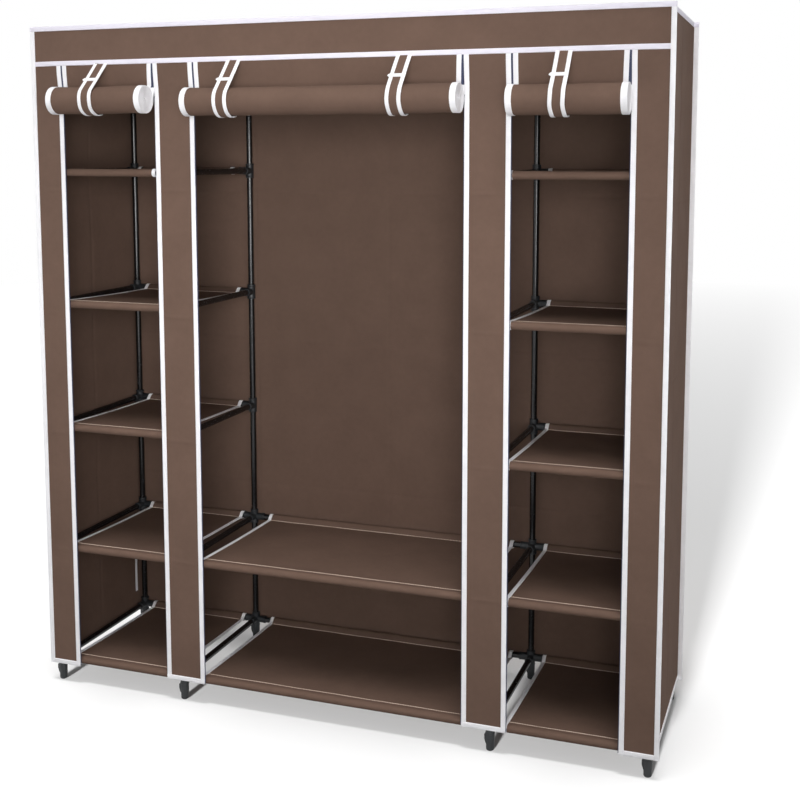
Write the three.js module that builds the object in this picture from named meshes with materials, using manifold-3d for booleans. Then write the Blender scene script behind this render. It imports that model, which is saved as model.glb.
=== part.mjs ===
// A portable fabric wardrobe: a sewn cover with three roll-up doors over a frame of plugged steel tubes.
// Millimetres, +Z up, front towards -Y. The origin is on the floor under the middle of the whole object.
import * as THREE from "three";
import { mergeVertices } from "three/addons/utils/BufferGeometryUtils.js";
import Module from "manifold-3d";

const wasm = await Module();
wasm.setup();

// The cover, over its sewn-out seam flanges.
const overallWidth = 1640;
const coverDepth = 450;
const seamFlange = 12;
const fabric = 2;
const clearance = 0.3;

// The front: stiles and openings, from the outside in.
const endStile = 81;
const sideOpening = 269;
const innerStile = 110;
const bindingWidth = 12;
const bindingThickness = 1.5;
const headerHeight = 89;

// The frame of tubes. The inner posts stand behind the inner stiles, a little outwards of their middles.
// Distances between tubes are from axis to axis.
const tubeRadius = 8;
const innerPostShift = 13.5;
const lowestRod = 61.5;
const lowBay = 312;
const middleBay = 331;
const highBay = 345;
const roundSides = 8;

// The plastic connectors and feet.
const hubRadius = 13;
const hubHalfHeight = 20;
const armRadius = 11;
const armLength = 32;
const socketDepth = 17;
const footNeckHeight = 22;
const footShoulderHeight = 30;
const footRadius = 9;
const footFlareRadius = 14.5;
const footSocketDepth = 9;

// The fabric shelves.
const sleeveThickness = 2;
const sideShelfMargin = 38;
const centreShelfMargin = 56;
const shelfSag = 4;

// The hanging rail and its clips.
const railDrop = 35;
const clipRadius = 12.5;
const clipWidth = 20;
const clipPlate = 6;

// The cover's lower edge above the floor, and how much higher it is under the inner stiles.
const hemHeight = 49;
const innerHemRise = 7;

// The rolled doors: cloth wound on its own hem, and how far below the header each roll hangs.
const hemCoreRadius = 7;
const rollLayer = 5.6;
const rollAir = 0.9;
const rollTurns = 4;
const stepsPerTurn = 12;
const rollStandOff = 8;
const leftRollGap = 48;
const centreRollGap = 56;
const rightRollGap = 63;

// The straps that tie the rolls up. The centre ones are set in from the edges of the opening.
const strapWidth = 38;
const strapThickness = 1.2;
const strapShift = -14;
const strapSteps = 12;
const strapEnd = THREE.MathUtils.degToRad(290);
const centreStrapInset = 129;

// The zips.
const zipGap = 6;
const sliderNeck = 4;
const sliderPlateWidth = 10;
const sliderPlateHeight = 14;
const sliderPlateThickness = 1.6;
const pullWidth = 5;
const pullLength = 22;
const pullThickness = 1.4;

// Worked out from the sizes above.
const bodyHalf = overallWidth / 2 - seamFlange;
const backInside = coverDepth - fabric;
const frontPost = fabric + clearance + hubRadius;
const backPost = backInside - clearance - hubRadius;
const endPost = bodyHalf - fabric - clearance - hubRadius;
const levels = [lowestRod];
for (const bay of [lowBay, middleBay, middleBay, highBay, highBay]) {
  levels.push(levels[levels.length - 1] + bay);
}
const topLevel = levels[levels.length - 1];
const coverUnderTop = topLevel + hubRadius + clearance;
const coverTop = coverUnderTop + fabric;
const headerBottom = coverTop - headerHeight;
const endStileEdge = bodyHalf - endStile;
const innerStileOuter = endStileEdge - sideOpening;
const innerStileInner = innerStileOuter - innerStile;
const innerPost = (innerStileOuter + innerStileInner) / 2 + innerPostShift;
const rollPitch = rollLayer + rollAir;
const hemCorner = hemCoreRadius / Math.cos(Math.PI / roundSides);
const rollInside = (hemCorner + clearance) / Math.cos(Math.PI / stepsPerTurn);
const rollStart = rollInside + rollLayer / 2;
const rollRadius = rollStart + rollTurns * rollPitch + rollLayer / 2;
const rollAxis = -(rollStandOff + rollRadius);
const strapRadius = (rollRadius + clearance) / Math.cos(Math.PI / strapSteps);
const frontReach = strapRadius + strapThickness - rollAxis;
const sleeveRadius = tubeRadius + sleeveThickness;

// Materials.
function clothMaterial(color) {
  return new THREE.MeshStandardMaterial({ color, roughness: 0.92, metalness: 0 });
}

function brownCloth() {
  return clothMaterial(0x5c483b);
}

function whiteBinding() {
  return clothMaterial(0xefedf0);
}

function blackTube() {
  return new THREE.MeshStandardMaterial({ color: 0x141414, roughness: 0.35, metalness: 0.4 });
}

function blackPlastic() {
  return new THREE.MeshStandardMaterial({ color: 0x1c1f21, roughness: 0.5, metalness: 0 });
}

function zipMetal() {
  return new THREE.MeshStandardMaterial({ color: 0x3a3d45, roughness: 0.35, metalness: 0.8 });
}

// A closed geometry as a solid that can be joined and cut.
function solidOf(geometry) {
  const bare = geometry.index ? geometry.toNonIndexed() : geometry.clone();
  for (const name of Object.keys(bare.attributes)) {
    if (name !== "position") bare.deleteAttribute(name);
  }
  const merged = mergeVertices(bare);
  return new wasm.Manifold(
    new wasm.Mesh({
      numProp: 3,
      vertProperties: merged.attributes.position.array,
      triVerts: new Uint32Array(merged.index.array),
    }),
  );
}

function geometryOf(solid) {
  const mesh = solid.getMesh();
  const geometry = new THREE.BufferGeometry();
  geometry.setAttribute("position", new THREE.BufferAttribute(mesh.vertProperties, 3));
  geometry.setIndex(new THREE.BufferAttribute(mesh.triVerts, 1));
  return geometry;
}

function joined(geometries, cuts = []) {
  const whole = geometries.map(solidOf).reduce((a, b) => a.add(b));
  return geometryOf(cuts.map(solidOf).reduce((a, b) => a.subtract(b), whole));
}

// A box between two corners, whose faces lie exactly at the numbers given.
function block(x0, x1, y0, y1, z0, z1) {
  const geometry = new THREE.BoxGeometry(1, 1, 1);
  const position = geometry.attributes.position;
  for (let i = 0; i < position.count; i++) {
    const x = position.getX(i) < 0 ? x0 : x1;
    const y = position.getY(i) < 0 ? y0 : y1;
    const z = position.getZ(i) < 0 ? z0 : z1;
    position.setXYZ(i, x, y, z);
  }
  return geometry;
}

// An outline drawn in the Y-Z plane, pushed along X.
function pushedAlongX(points, x0, x1) {
  const shape = new THREE.Shape(points.map(([y, z]) => new THREE.Vector2(y, z)));
  const geometry = new THREE.ExtrudeGeometry(shape, { depth: x1 - x0, bevelEnabled: false });
  const turn = new THREE.Matrix4().makeBasis(
    new THREE.Vector3(0, 1, 0),
    new THREE.Vector3(0, 0, 1),
    new THREE.Vector3(1, 0, 0),
  );
  return geometry.applyMatrix4(turn).translate(x0, 0, 0);
}

// An eight-sided bar whose flats lie at the given radius and face along the axes.
function barAlongZ(radius, z0, z1) {
  const corner = radius / Math.cos(Math.PI / roundSides);
  const geometry = new THREE.CylinderGeometry(corner, corner, z1 - z0, roundSides);
  geometry.rotateY(Math.PI / roundSides).rotateX(Math.PI / 2);
  return geometry.translate(0, 0, (z0 + z1) / 2);
}

function barZ(radius, x, y, z0, z1) {
  return barAlongZ(radius, z0, z1).translate(x, y, 0);
}

function barX(radius, x0, x1, y, z) {
  return barAlongZ(radius, x0, x1).rotateY(Math.PI / 2).translate(0, y, z);
}

function barY(radius, x, y0, y1, z) {
  return barAlongZ(radius, -y1, -y0).rotateX(Math.PI / 2).translate(x, 0, z);
}

const wardrobe = new THREE.Group();
wardrobe.name = "portable_fabric_wardrobe";
wardrobe.position.y = (frontReach - coverDepth - clearance - bindingThickness) / 2;

function addPiece(name, geometry, material) {
  const mesh = new THREE.Mesh(geometry, material);
  mesh.name = name;
  wardrobe.add(mesh);
}

// One ladder of the frame: two posts, a depth rod at every level, and a connector at every crossing.
// Arms of the connectors reach out in X on the sides given for each level.
function ladder(x, sidesAt) {
  const solids = [];
  const sockets = [];
  const postFoot = levels[0] - hubHalfHeight - footSocketDepth;
  for (const y of [frontPost, backPost]) {
    solids.push(barZ(tubeRadius, x, y, postFoot, topLevel));
  }
  levels.forEach((z, level) => {
    const hubTop = z === topLevel ? z + hubRadius : z + hubHalfHeight;
    solids.push(barY(tubeRadius, x, frontPost, backPost, z));
    for (const y of [frontPost, backPost]) {
      const hub = [x - hubRadius, x + hubRadius, y - hubRadius, y + hubRadius];
      solids.push(block(...hub, z - hubHalfHeight, hubTop));
      for (const side of sidesAt(level)) {
        const reach = [x, x + side * armLength].sort((a, b) => a - b);
        const mouth = x + side * (armLength + armRadius);
        const floor = x + side * (armLength - socketDepth);
        const bore = [floor, mouth].sort((a, b) => a - b);
        solids.push(barX(armRadius, ...reach, y, z));
        sockets.push(barX(tubeRadius + clearance, ...bore, y, z));
      }
    }
  });
  return joined(solids, sockets);
}

// The lowest two levels and the top have rods in the centre section.
function hasCentreRod(level) {
  return level < 2 || level === levels.length - 1;
}

function addFrames() {
  const innerSides = (outward) => (level) => (hasCentreRod(level) ? [-1, 1] : [outward]);
  addPiece("left_end_frame", ladder(-endPost, () => [1]), blackTube());
  addPiece("left_inner_frame", ladder(-innerPost, innerSides(-1)), blackTube());
  addPiece("right_inner_frame", ladder(innerPost, innerSides(1)), blackTube());
  addPiece("right_end_frame", ladder(endPost, () => [-1]), blackTube());
}

// A foot: a short peg under a flared cup, whose socket takes the end of a post.
function footGeometry(x, y) {
  const top = levels[0] - hubHalfHeight - clearance;
  const socketFloor = top - footSocketDepth - clearance;
  const socketCorner = (tubeRadius + clearance) / Math.cos(Math.PI / roundSides);
  const outline = [
    [0, 0],
    [footRadius, 0],
    [footRadius, footNeckHeight],
    [footFlareRadius, footShoulderHeight],
    [footFlareRadius, top],
    [socketCorner, top],
    [socketCorner, socketFloor],
    [0, socketFloor],
  ];
  const profile = outline.map(([r, z]) => new THREE.Vector2(r, z));
  const geometry = new THREE.LatheGeometry(profile, roundSides, Math.PI / roundSides);
  return geometry.rotateX(Math.PI / 2).translate(x, y, 0);
}

function addFeet() {
  const ladders = { left_end: -endPost, left_inner: -innerPost, right_inner: innerPost, right_end: endPost };
  for (const [name, x] of Object.entries(ladders)) {
    addPiece(`${name}_front_foot`, footGeometry(x, frontPost), blackPlastic());
    addPiece(`${name}_back_foot`, footGeometry(x, backPost), blackPlastic());
  }
}

// How far a rod reaches past the axis of the post that its connector sits on.
const rodInset = armLength - socketDepth + clearance;

function sections() {
  return {
    left: [-endPost, -innerPost],
    centre: [-innerPost, innerPost],
    right: [innerPost, endPost],
  };
}

function addTopRods() {
  for (const [name, [x0, x1]] of Object.entries(sections())) {
    for (const [place, y] of [["front", frontPost], ["back", backPost]]) {
      const rod = barX(tubeRadius, x0 + rodInset, x1 - rodInset, y, topLevel);
      addPiece(`${name}_top_${place}_rod`, rod, blackTube());
    }
  }
}

// The outline of a shelf's cloth from front to back: a sleeve round each rod, and a sagging sheet between.
const sagPlaceShares = [0.12, 0.35, 0.65, 0.88];
const sagDepthShares = [0.5, 1, 1, 0.5];

function sleeveArc(y, z, from, to) {
  const points = [];
  const step = (2 * Math.PI) / roundSides;
  for (let angle = from; angle < to + step / 2; angle += step) {
    points.push([y + sleeveRadius * Math.cos(angle), z + sleeveRadius * Math.sin(angle)]);
  }
  return points;
}

function shelfOutline(z) {
  const span = backPost - frontPost;
  const sheetTop = z + sleeveRadius;
  const sag = sagPlaceShares.map((share, i) => [
    frontPost + span * share,
    sheetTop - shelfSag * sagDepthShares[i],
  ]);
  const underneath = sag.map(([y, top]) => [y, top - fabric]);
  return [
    ...sleeveArc(backPost, z, -Math.PI, Math.PI / 2),
    ...sag.reverse(),
    ...sleeveArc(frontPost, z, Math.PI / 2, 2 * Math.PI),
    ...underneath,
  ];
}

function shelfGeometry(x0, x1, margin, z) {
  const cloth = pushedAlongX(shelfOutline(z), x0 + margin, x1 - margin);
  const rods = [frontPost, backPost].map((y) => barX(tubeRadius, x0 + rodInset, x1 - rodInset, y, z));
  return joined([cloth, ...rods]);
}

function addShelves() {
  for (const [name, [x0, x1]] of Object.entries(sections())) {
    const margin = name === "centre" ? centreShelfMargin : sideShelfMargin;
    levels.slice(0, -1).forEach((z, level) => {
      if (name === "centre" && !hasCentreRod(level)) return;
      addPiece(`${name}_shelf_${level + 1}`, shelfGeometry(x0, x1, margin, z), brownCloth());
    });
  }
}

// The hanging rail: a tube between two clips that close round the top depth rods of the inner ladders.
function addHangingRail() {
  const middle = (frontPost + backPost) / 2;
  const front = middle - clipWidth / 2;
  const back = middle + clipWidth / 2;
  const railLevel = topLevel - railDrop;
  const solids = [barX(tubeRadius, -innerPost, innerPost, middle, railLevel)];
  const bores = [];
  for (const x of [-innerPost, innerPost]) {
    solids.push(barY(clipRadius, x, front, back, topLevel));
    solids.push(block(x - clipPlate / 2, x + clipPlate / 2, front, back, railLevel - clipRadius, topLevel));
    bores.push(barY(tubeRadius + clearance, x, front - clipPlate, back + clipPlate, topLevel));
  }
  addPiece("hanging_rail", joined(solids, bores), blackTube());
}

// The stiles of the front, each with its outer and inner edge in X and its lower edge.
function stiles() {
  const innerHem = hemHeight + innerHemRise;
  return {
    left_stile: [-bodyHalf, -endStileEdge, hemHeight],
    left_centre_stile: [-innerStileOuter, -innerStileInner, innerHem],
    right_centre_stile: [innerStileInner, innerStileOuter, innerHem],
    right_stile: [endStileEdge, bodyHalf, hemHeight],
  };
}

function addCover() {
  const panelTop = coverUnderTop - clearance;
  for (const [name, [x0, x1, hem]] of Object.entries(stiles())) {
    addPiece(`cover_${name}`, block(x0, x1, 0, fabric, hem, headerBottom - clearance), brownCloth());
  }
  addPiece("cover_header", block(-bodyHalf, bodyHalf, 0, fabric, headerBottom, coverTop), brownCloth());
  const top = block(-bodyHalf, bodyHalf, fabric + clearance, coverDepth, coverUnderTop, coverTop);
  addPiece("cover_top_panel", top, brownCloth());
  const back = block(-bodyHalf, bodyHalf, backInside, coverDepth, hemHeight, panelTop);
  addPiece("cover_back_panel", back, brownCloth());
  for (const [name, side] of [["left", -1], ["right", 1]]) {
    const edges = [side * (bodyHalf - fabric), side * bodyHalf].sort((a, b) => a - b);
    const panel = block(...edges, fabric + clearance, backInside - clearance, hemHeight, panelTop);
    addPiece(`cover_${name}_side_panel`, panel, brownCloth());
  }
}

// A flat net of binding drawn in the X-Z plane, as thick as the binding, whose front is at y.
function bindingNet(outline, windows, y) {
  const shape = new THREE.Shape(outline.map(([x, z]) => new THREE.Vector2(x, z)));
  for (const [x0, x1, z0, z1] of windows) {
    const corners = [[x0, z0], [x0, z1], [x1, z1], [x1, z0]];
    shape.holes.push(new THREE.Path(corners.map(([x, z]) => new THREE.Vector2(x, z))));
  }
  const geometry = new THREE.ExtrudeGeometry(shape, { depth: bindingThickness, bevelEnabled: false });
  return geometry.rotateX(Math.PI / 2).translate(0, y + bindingThickness, 0);
}

// White binding and seam flanges of the whole cover, sewn into one net: a front and a back,
// joined by the upright flanges of the top's side edges and by the bound side hems.
function pipingGeometry() {
  const outer = overallWidth / 2;
  const flangeTop = coverTop + seamFlange;
  const front = -clearance - bindingThickness;
  const back = coverDepth + clearance;
  const outline = [[-outer, hemHeight]];
  const windows = [[-bodyHalf, bodyHalf, headerBottom + bindingWidth, coverTop]];
  for (const [x0, x1, hem] of Object.values(stiles())) {
    const first = x0 === -bodyHalf;
    const last = x1 === bodyHalf;
    if (!first) outline.push([x0, headerBottom], [x0, hem]);
    outline.push([last ? outer : x1, hem]);
    if (!last) outline.push([x1, headerBottom]);
    const sides = [first ? x0 : x0 + bindingWidth, last ? x1 : x1 - bindingWidth];
    windows.push([...sides, hem + bindingWidth, headerBottom]);
  }
  outline.push([outer, flangeTop], [-outer, flangeTop]);
  const backOutline = [[-outer, hemHeight], [outer, hemHeight], [outer, flangeTop], [-outer, flangeTop]];
  const backWindow = [-bodyHalf, bodyHalf, hemHeight + bindingWidth, coverTop];
  const solids = [bindingNet(outline, windows, front), bindingNet(backOutline, [backWindow], back)];
  const run = [front + bindingThickness / 2, back + bindingThickness / 2];
  for (const side of [-1, 1]) {
    const ridge = [side * (bodyHalf - bindingThickness), side * bodyHalf].sort((a, b) => a - b);
    const hemOut = bodyHalf + clearance + bindingThickness;
    const hem = [side * (bodyHalf + clearance), side * hemOut].sort((a, b) => a - b);
    solids.push(block(...ridge, ...run, coverTop + clearance, flangeTop - clearance));
    solids.push(block(...hem, ...run, hemHeight + clearance, hemHeight + bindingWidth));
  }
  return joined(solids);
}

// The three doors: where each roll lies in X and Z, and where its straps hang.
function doors() {
  const sideMiddle = (innerStileOuter + endStileEdge) / 2;
  const centreStrap = innerStileInner - centreStrapInset;
  const below = (gap) => headerBottom - gap - rollRadius;
  return {
    left: {
      edges: [-endStileEdge, -innerStileOuter],
      height: below(leftRollGap),
      straps: { door: -sideMiddle },
    },
    centre: {
      edges: [-innerStileInner, innerStileInner],
      height: below(centreRollGap),
      straps: { door_left: -centreStrap, door_right: centreStrap },
    },
    right: {
      edges: [innerStileOuter, endStileEdge],
      height: below(rightRollGap),
      straps: { door: sideMiddle },
    },
  };
}

// The cloth of a roll in the Y-Z plane: a spiral that ends at the back, where the curtain comes down to it.
function spiralOutline(height) {
  const outside = [];
  const inside = [];
  const steps = rollTurns * stepsPerTurn;
  for (let step = 0; step <= steps; step++) {
    const turn = step / stepsPerTurn;
    const angle = 2 * Math.PI * (turn - rollTurns);
    const radius = rollStart + rollPitch * turn;
    const direction = [Math.cos(angle), Math.sin(angle)];
    const at = (r) => [rollAxis + r * direction[0], height + r * direction[1]];
    outside.push(at(radius + rollLayer / 2));
    inside.push(at(radius - rollLayer / 2));
  }
  return [...outside, ...inside.reverse()];
}

// The least gap between one turn of a roll and the next, on the points of its outline.
function leastTurnGap() {
  const outline = spiralOutline(0);
  const outside = outline.slice(0, outline.length / 2);
  const inside = outline.slice(outline.length / 2).reverse();
  const nextTurn = inside.slice(stepsPerTurn);
  return Math.min(...nextTurn.map(([y, z], i) => Math.hypot(y - outside[i][0], z - outside[i][1])));
}

// The curtain between the header and its roll: from the seam under the header, forward onto the roll.
function flapGeometry(x0, x1, height) {
  const end = rollAxis + rollRadius;
  const seam = headerBottom - clearance;
  const outline = [
    [0, seam],
    [0, seam - fabric],
    [end - fabric, height + clearance],
    [end, height + clearance],
    [fabric, seam - fabric],
    [fabric, seam],
  ];
  return pushedAlongX(outline, x0 + zipGap, x1 - zipGap);
}

function addDoor(name, [x0, x1], height) {
  const inner = [x0 + bindingWidth, x1 - bindingWidth];
  addPiece(`${name}_door_curtain`, flapGeometry(x0, x1, height), brownCloth());
  const cloth = pushedAlongX(spiralOutline(height), inner[0] + clearance, inner[1] - clearance);
  addPiece(`${name}_door_roll`, cloth, brownCloth());
  const ends = [[x0, inner[0]], [inner[1], x1]].map((reach) => pushedAlongX(spiralOutline(height), ...reach));
  const hem = barX(hemCoreRadius, x0, x1, rollAxis, height);
  const bridges = [[x0, inner[0]], [inner[1], x1]].map((reach) =>
    barX(rollStart, ...reach, rollAxis, height),
  );
  addPiece(`${name}_door_binding`, joined([...ends, hem, ...bridges]), whiteBinding());
}

// A strap: from the seam under the header, forward onto the roll, and round its front to underneath.
function strapGeometry(x, height) {
  const back = -clearance;
  const front = back - strapThickness;
  const seam = headerBottom - clearance;
  const bend = seam - strapThickness;
  const run = [(front + back) / 2 - rollAxis, bend - height];
  const middleRadius = strapRadius + strapThickness / 2;
  const start = Math.atan2(run[1], run[0]) + Math.acos(middleRadius / Math.hypot(...run));
  const outside = [[front, seam], [front, bend]];
  const inside = [[back, seam], [back, bend]];
  for (let step = 0; step <= strapSteps; step++) {
    const angle = start + ((strapEnd - start) * step) / strapSteps;
    const at = (r) => [rollAxis + r * Math.cos(angle), height + r * Math.sin(angle)];
    outside.push(at(strapRadius + strapThickness));
    inside.push(at(strapRadius));
  }
  return pushedAlongX([...outside, ...inside.reverse()], x - strapWidth / 2, x + strapWidth / 2);
}

// A zip slider: a plate on each side of the zip, a neck between them and a hanging pull.
function sliderGeometry(edge, side, height) {
  const x = edge - (side * zipGap) / 2;
  const front = -clearance - bindingThickness - clearance;
  const back = fabric + clearance;
  const low = height - sliderPlateHeight / 2;
  const high = height + sliderPlateHeight / 2;
  const halves = sliderPlateWidth / 2;
  const pullFront = front - sliderPlateThickness - pullThickness;
  return joined([
    block(x - halves, x + halves, front - sliderPlateThickness, front, low, high),
    block(x - halves, x + halves, back, back + sliderPlateThickness, low, high),
    block(x - sliderNeck / 2, x + sliderNeck / 2, front - clearance, back + clearance, low, high),
    block(x - pullWidth / 2, x + pullWidth / 2, pullFront, front - clearance, high - pullLength, high),
  ]);
}

function addDoors() {
  for (const [name, door] of Object.entries(doors())) {
    addDoor(name, door.edges, door.height);
    for (const [place, x] of Object.entries(door.straps)) {
      addPiece(`${name}_${place}_strap`, strapGeometry(x + strapShift, door.height), brownCloth());
    }
    addPiece(`${name}_door_left_slider`, sliderGeometry(door.edges[0], -1, door.height), zipMetal());
    addPiece(`${name}_door_right_slider`, sliderGeometry(door.edges[1], 1, door.height), zipMetal());
  }
}

addFrames();
addFeet();
addTopRods();
addShelves();
addHangingRail();
addCover();
addPiece("cover_piping", pipingGeometry(), whiteBinding());
addDoors();
console.log(`least gap between the turns of a roll: ${leastTurnGap().toFixed(2)} mm`);

export default wardrobe;
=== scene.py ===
"""Looks of a portable fabric wardrobe: non-woven cloth, bound seams, black tubes and three roll-up doors.

Metres, +Z up, front towards -Y. Every place comes from the frame's nodes.
"""

import math
from types import SimpleNamespace

import bmesh
import bpy
import numpy as np
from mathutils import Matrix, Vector


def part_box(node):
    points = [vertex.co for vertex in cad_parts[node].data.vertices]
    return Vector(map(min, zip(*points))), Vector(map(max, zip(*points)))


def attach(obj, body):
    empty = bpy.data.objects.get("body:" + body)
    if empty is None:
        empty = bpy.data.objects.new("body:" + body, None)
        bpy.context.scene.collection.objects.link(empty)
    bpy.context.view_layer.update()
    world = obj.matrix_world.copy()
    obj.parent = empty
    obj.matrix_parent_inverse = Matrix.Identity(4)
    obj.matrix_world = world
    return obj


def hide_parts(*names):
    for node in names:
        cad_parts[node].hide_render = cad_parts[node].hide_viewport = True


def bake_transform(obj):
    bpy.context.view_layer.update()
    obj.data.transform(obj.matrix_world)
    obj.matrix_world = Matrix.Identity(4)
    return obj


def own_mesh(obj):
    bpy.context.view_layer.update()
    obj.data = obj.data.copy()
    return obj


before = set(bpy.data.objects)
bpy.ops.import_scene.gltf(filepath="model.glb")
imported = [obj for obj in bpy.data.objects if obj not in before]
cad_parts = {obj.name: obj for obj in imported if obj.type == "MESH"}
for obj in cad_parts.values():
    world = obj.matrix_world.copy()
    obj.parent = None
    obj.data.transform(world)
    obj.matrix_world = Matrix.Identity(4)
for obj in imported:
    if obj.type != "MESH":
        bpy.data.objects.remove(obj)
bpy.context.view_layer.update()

ROOT = "wardrobe"
TURN = 2 * math.pi
# The three directions.
X = np.array([1.0, 0.0, 0.0])
Y = np.array([0.0, 1.0, 0.0])
Z = np.array([0.0, 0.0, 1.0])
CLOTH_MAP = "cloth"
SMOOTH_ANGLE = math.radians(40)

# The camera, in metres, degrees and shares of the frame.
CAMERA_PLACE = (1.140, -2.8357, 1.429)
CAMERA_PITCH = 6.3
CAMERA_YAW = 19.35
CAMERA_LENS = 54.1
CAMERA_SHIFT = (-0.0078, -0.1421)

# The floor, the sky and the lamps.
FLOOR_SIZE = 30.0
FLOOR_SHOWN, FLOOR_BOUNCE = 0.95, 0.25
FLOOR_NEAR, FLOOR_FAR = 2.0, 11.0
SKY_LIGHT = 0.24
LIT = {"floor_only": "INCLUDE", "all_but_floor": "EXCLUDE"}
# Each sun's strength, softness in degrees, the place it shines from, and what it lights.
SUNS = {
    "top": (1.4, 14, (0.0, -0.42, 5.0), "floor_only"),
    "high": (1.65, 34, (0.5, -1.75, 5.0), "all_but_floor"),
    "low": (12.5, 6, (-0.02, -1.0, 0.12), "floor_only"),
}
# Each box lamp's place, aim, size, watts and spread in degrees. None lights the floor.
BOXES = {
    "key": ((1.00, -3.05, 1.40), (-0.38, 0.0, 1.30), 1.3, 10.6, 64),
    "right": ((3.30, -2.00, 1.70), (0.60, 0.0, 1.15), 1.6, 11.0, 120),
    "left": ((-3.50, -1.00, 1.70), (-0.80, 0.1, 1.20), 1.6, 9.0, 120),
    "back": ((0.30, 3.60, 1.90), (0.0, 0.2, 0.90), 1.8, 95.0, 180),
}

# Cloth and binding.
CLOTH = 0.0011
BINDING_WIDTH = 0.012
BINDING_THICKNESS = 0.0030
BINDING_PROUD = 0.0002
TAPE_WAVE = 0.0001
TAPE_STEP = 0.02
TAPE_PART = 0.03
TAPE_ROUND_SHARE = 0.42
FLANGE_WIDTH = 0.012
FLANGE_THICKNESS = 0.0022
FLANGE_MORE = 0.0003
FLANGE_PROUD = 0.0006
HEADER_LEAN = 0.007
HEADER_LAP = 0.004
HEM_MORE = 0.0004
LEAN_DEPTH = 0.085
LEAN_SIDE = 0.070
CREASE_HALF = 0.005
CREASE_HEIGHT = 0.0011
BACK_CREASES = ((0.25, 0.5, 0.75), (0.25, 0.5, 0.75))
SIDE_CREASES = ((0.5,), (0.25, 0.5, 0.75))
TOP_CREASES = ((0.25, 0.5, 0.75), (0.5,))
STILE_CREASES = ((), (0.2, 0.4, 0.6, 0.8))
DIMPLE_PITCH = 0.0013
RIB_PITCH = 0.0009
COIL_PITCH = 0.0016
RIPPLE_SIZE_SHARE = 0.35
RIPPLE_SHARE = 0.40
RELIEF_WAVES = 6
TOP_SINK = 0.008
TOP_BELOW = 0.0008
SIDE_INSIDE = 0.001
PANEL_INSIDE = 0.001
PANEL_STEP = 0.022
FRONT_STEP = 0.011
PANEL_FADE = 0.04
STITCH_PITCH = 0.0042
STITCH_LENGTH = 0.0029
STITCH_WIDTH = 0.0006
STITCH_INSET = 0.0022
STITCH_RISE = 0.6

# Tubes, connectors and feet.
TUBE_RADIUS = 0.008
TUBE_SIDES = 28
HUB_RADIUS = 0.0108
HUB_LIP = 0.0116
HUB_HALF = 0.020
ARM_RADIUS = 0.0098
ARM_LIP = 0.0104
ARM_LENGTH = 0.032
LIP_LENGTH = 0.0035
FOOT_PEG = 0.0098
FOOT_CHAMFER = 0.003
FOOT_TAPER = 0.0004
FOOT_NECK = 0.021
FOOT_COLLAR = 0.0108
FOOT_ROUND = 0.0012
COLLAR_RISE = 0.006
FIN_WIDTH = 0.012
FIN_RISE = 0.009
FIN_TAIL = 0.003
FIN_LIP = 0.004
FIN_ROUND = 0.0015
RIB_START = 0.006
RIB_HALF = 0.0009
RIB_PROUD = 0.0006
RIB_ROUND = 0.0008
EDGE_ROUND = 0.0010
ROD_INSET = 0.0155
RAIL_DROP = 0.035
CLIP_RADIUS = 0.0120
CLIP_MOUTH = -0.006
CLIP_NECK = 0.0045
CLIP_SLEEVE = 0.0115
CLIP_LIP = 0.0125
CLIP_HALF = 0.007
CLIP_ROUND = 0.0006

# Shelves.
SLEEVE_RADIUS = 0.0093
SLEEVE_STEPS = 22
SEAM_BEHIND_ROD = 0.0165
SEAM_WOBBLE = 0.0008
SEAM_PART = 0.06
SEAM_STITCH = {"width": 0.0020, "length": 0.0036}
SEAM_DROP = {"front": 0.0022, "back": 0.0130}
SHELF_STEP = 0.018
SHELF_SAG = 0.0018
SHELF_SAG_ACROSS = 0.0016
SHELF_WAVE = 0.0012
SHELF_WAVE_SIZE = 0.16
SHELF_FADE = 0.05
EDGING_WIDTH = 0.0100
EDGING_THICKNESS = 0.0026
SHELF_SHIFT = {"left_shelf_5": -0.016}
CLOTH_MARGIN = {"left": 0.038, "centre": 0.056, "right": 0.038}

# Rolled doors.
ROLL_START = 0.0032
ROLL_PITCH = 0.0034
ROLL_CLOTH = 0.0010
ROLL_BINDING = 0.0025
OUTER_BINDING = 0.0030
ROLL_CUP = 0.0022
ROLL_SHIFT = 0.004
ROLL_GAP = 0.0004
ROLL_BUMPS = 0.0006
ROLL_BUMP_SIZE = 0.10
ROLL_TURN_LENGTH = 0.12
ROLL_INSET = 0.0008
TURN_SHIFT = 0.0004
ROLL_STEP = 0.03
CLOTH_INSET = 0.004
ROLL_SAG_SHARE = 0.002
ROLL_BINDING_WIDTH = 0.0155
ROLL_STEPS = 30
CURTAIN_INSET = 0.0045
CURTAIN_DRAW = 0.0035
CURTAIN_ROWS = 64
CURTAIN_DEPTH = 0.0003
CURTAIN_END = 0.024
TAIL_RISE = 0.030
HEM_FRONT = 0.0070
HEM_TURN = 0.012
CURTAIN_STEP = 0.014
CURTAIN_ABOVE = 0.004
CURTAIN_WAVE = 0.0009
CURTAIN_BINDING = (0.0026, 0.0011)
# In turns from a roll's outside: where its bumps, hollow ends and thick binding start, and how many they take.
BUMPS_FROM, BUMPS_OVER = 2.2, 1.4
CUP_FROM, CUP_OVER = 0.6, 2.5
THICK_FROM, THICK_OVER = 1.3, 0.5

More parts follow.
